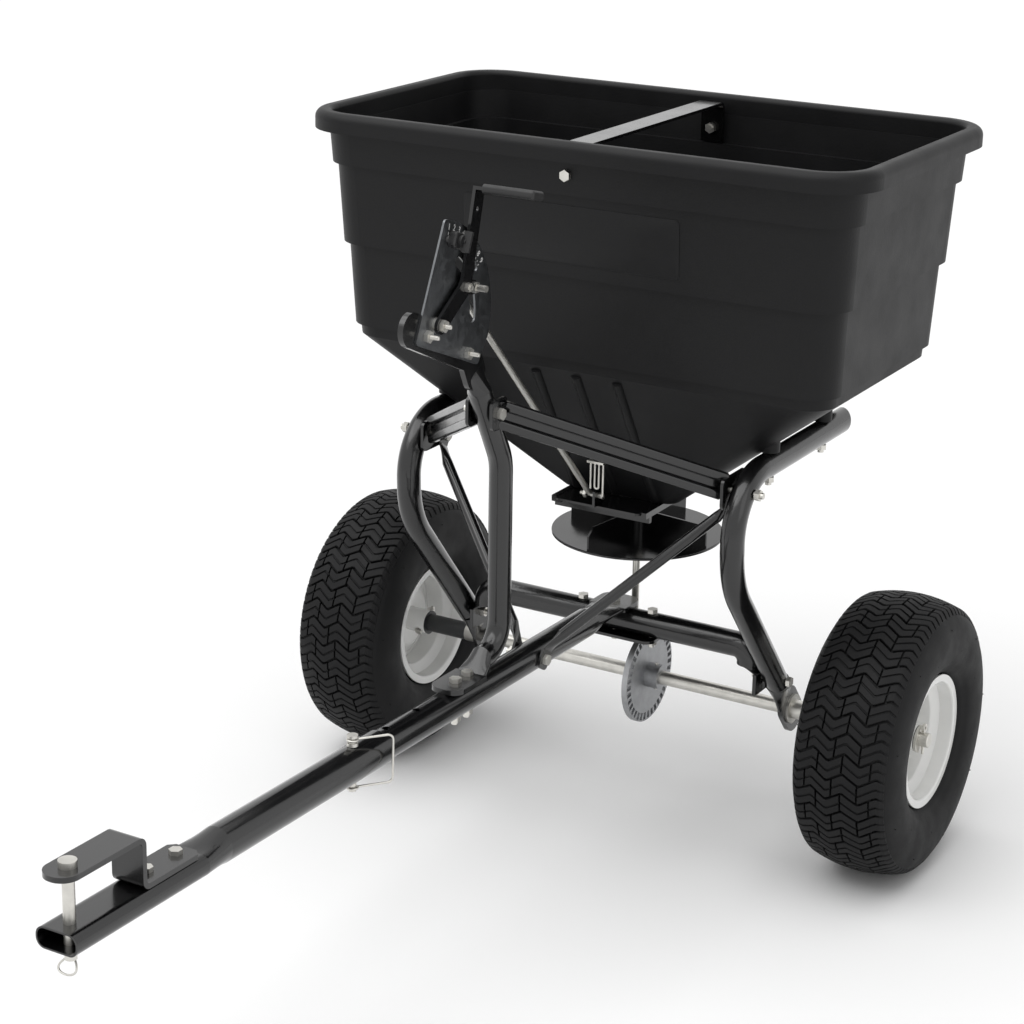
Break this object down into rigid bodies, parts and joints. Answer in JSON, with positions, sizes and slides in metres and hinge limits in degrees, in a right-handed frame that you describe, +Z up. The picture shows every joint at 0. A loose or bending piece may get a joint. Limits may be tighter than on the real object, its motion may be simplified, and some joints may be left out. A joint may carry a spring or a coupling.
{
  "type": "tow-behind garden spreader",
  "caption": "Tow-behind broadcast spreader: stepped hopper on bent tube legs, axle-driven spinner, sliding gate with lever and rod, telescoping tongue with pin hitch.",
  "frame": {"origin": "on the floor in the middle of the overall width and length", "axes": "+X along the axle towards the free wheel, -Y towards the towing vehicle, +Z up; the tyres stand on Z = 0"},
  "size_m": [0.8974, 1.3944, 0.948],
  "materials": {
    "zinc_steel": "bright zinc plate",
    "black_paint": "gloss black powder coat",
    "hopper_plastic": "fine grained satin",
    "gloss_black_plastic": "gloss",
    "bush_plastic": "dull",
    "grip_plastic": "satin",
    "tyre_rubber": "matt rubber",
    "white_paint": "gloss white",
    "galvanised_sheet": "galvanised",
    "cast_gear": "matt as cast"
  },
  "bodies": {
    "frame": {"hopper": "hopper_plastic", "hopper_strap": "black_paint", "strap_bolts": "zinc_steel", "left_leg": "black_paint", "right_leg": "black_paint", "leg_bolts": "zinc_steel", "cross_tube": "black_paint", "cross_bolts": "zinc_steel", "bearing_plate": "black_paint", "bearing_bolts": "zinc_steel", "shaft_bushes": "bush_plastic", "axle_bushes": "bush_plastic", "tongue_rear": "black_paint", "tongue_front": "black_paint", "hitch_bracket": "black_paint", "hitch_bolts": "zinc_steel", "hitch_pin": "zinc_steel", "hitch_clip": "zinc_steel", "lock_pin": "zinc_steel", "upright_tube": "black_paint", "foot_bolts": "zinc_steel", "left_strut": "black_paint", "right_strut": "black_paint", "strut_bolts": "zinc_steel", "left_brace": "black_paint", "right_brace": "black_paint", "brace_bolts": "zinc_steel", "control_plate": "galvanised_sheet", "plate_bolts": "zinc_steel", "pivot_bolt": "zinc_steel", "gate_guide": "black_paint", "wire_clips": "zinc_steel"},
    "axle": {"axle": "zinc_steel", "drive_gear": "cast_gear", "gear_pin": "zinc_steel", "wheel_spacers": "bush_plastic", "end_washers": "zinc_steel", "split_pins": "zinc_steel", "left_tyre": "tyre_rubber", "left_rim": "white_paint", "left_hub_bushes": "bush_plastic", "drive_bolt": "zinc_steel"},
    "right_wheel": {"right_tyre": "tyre_rubber", "right_rim": "white_paint", "right_hub_bushes": "bush_plastic"},
    "spinner": {"spinner_shaft": "zinc_steel", "spinner_disc": "gloss_black_plastic", "hub_screw": "zinc_steel", "agitator": "zinc_steel", "pinion": "cast_gear"},
    "lever": {"flow_lever": "black_paint", "lever_grip": "grip_plastic", "rod_ear": "black_paint", "ear_bolts": "zinc_steel"},
    "rod": {"control_rod": "zinc_steel"},
    "gate": {"gate_plate": "black_paint"},
    "stop": {"stop_block": "grip_plastic", "stop_screw": "zinc_steel"},
    "bail": {"lock_bail": "zinc_steel"}
  },
  "joints": [
    {"name": "axle_spin", "type": "hinge", "parent": "frame", "child": "axle", "pos_m": [0, 0.48934, 0.184], "axis": [1, 0, 0], "continuous": true},
    {"name": "right_wheel_spin", "type": "hinge", "parent": "axle", "child": "right_wheel", "pos_m": [0.378, 0.48934, 0.184], "axis": [1, 0, 0], "continuous": true},
    {"name": "spinner_spin", "type": "hinge", "parent": "frame", "child": "spinner", "pos_m": [0, 0.48934, 0.388], "axis": [0, 0, 1], "continuous": true},
    {"name": "flow_lever", "type": "hinge", "parent": "frame", "child": "lever", "pos_m": [0.012, -0.02666, 0.786], "axis": [1, 0, 0], "range_deg": [-14, 0]},
    {"name": "gate_slide", "type": "slide", "parent": "frame", "child": "gate", "axis": [0, 1, 0], "range_m": [0, 0.0232]},
    {"name": "rod_swing", "type": "hinge", "parent": "gate", "child": "rod", "pos_m": [-0.008, 0.37934, 0.468], "axis": [1, 0, 0], "range_deg": [0, 3.2]},
    {"name": "stop_slide", "type": "hinge", "parent": "frame", "child": "stop", "pos_m": [0.008, -0.02666, 0.786], "axis": [1, 0, 0], "range_deg": [0, 8]},
    {"name": "bail_swing", "type": "hinge", "parent": "frame", "child": "bail", "pos_m": [0, -0.18954, 0.31156], "axis": [0, 0.0185, 0.9998], "range_deg": [-110, 5]}
  ],
  "couplings": [
    {"joint": "spinner_spin", "follows": "axle_spin", "ratio": -3},
    {"joint": "gate_slide", "follows": "flow_lever", "m_per_rad": -0.0942},
    {"joint": "rod_swing", "follows": "flow_lever", "ratio": -0.2193}
  ]
}
